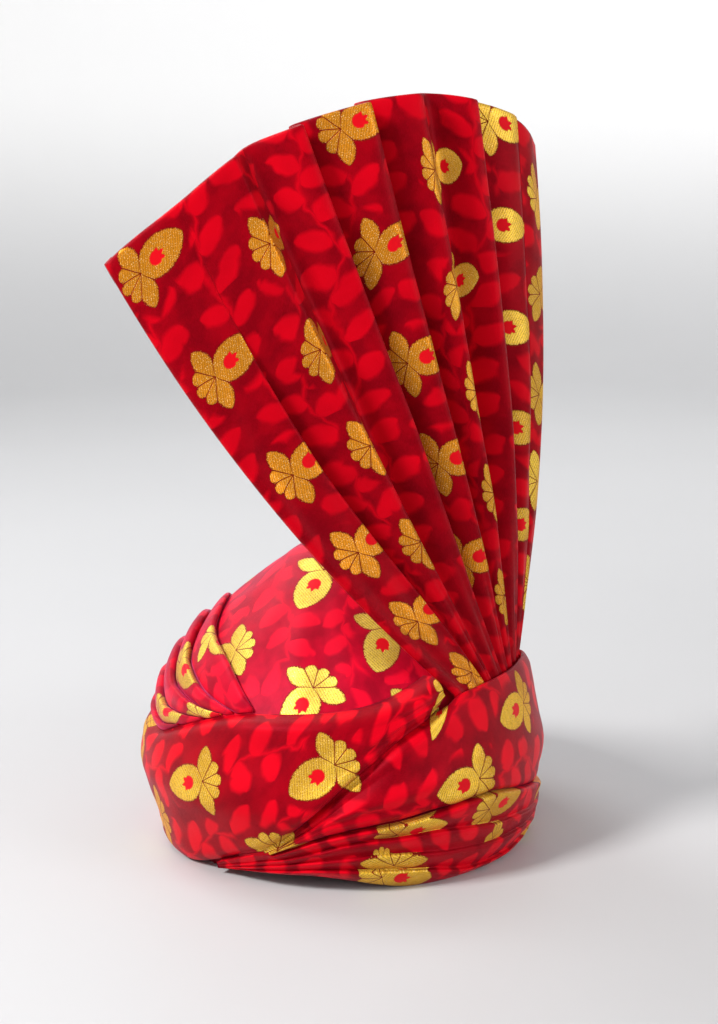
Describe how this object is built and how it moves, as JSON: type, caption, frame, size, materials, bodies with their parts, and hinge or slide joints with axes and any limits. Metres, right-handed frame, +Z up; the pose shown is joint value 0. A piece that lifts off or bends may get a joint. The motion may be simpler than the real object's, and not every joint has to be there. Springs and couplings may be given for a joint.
{
  "type": "tied turban pagri",
  "caption": "Tied brocade turban with a smooth crown, side pleats, a slanting outer wrap and a tall standing pleated fan.",
  "frame": {"origin": "centre of the base in the plane that the rim rests on, under the middle of the head hollow", "axes": "+Z up through the crown, -Y towards the front band, +X towards the side where the fan stands"},
  "size_m": [0.2493, 0.2571, 0.4408],
  "materials": {
    "wound_cloth": "matt wound red cloth",
    "crown_brocade": "red satin jacquard with gold woven motifs",
    "wrap_brocade": "red satin jacquard with gold woven motifs",
    "fan_brocade": "red satin jacquard with gold woven motifs"
  },
  "bodies": {
    "root": {"inner_turns": "wound_cloth", "crown_cover": "crown_brocade", "crown_pleat_1": "crown_brocade", "crown_pleat_2": "crown_brocade", "crown_pleat_3": "crown_brocade", "crown_pleat_4": "crown_brocade", "crown_pleat_5": "crown_brocade", "rim_wrap": "wrap_brocade", "outer_wrap": "wrap_brocade", "fan": "fan_brocade"}
  },
  "joints": []
}
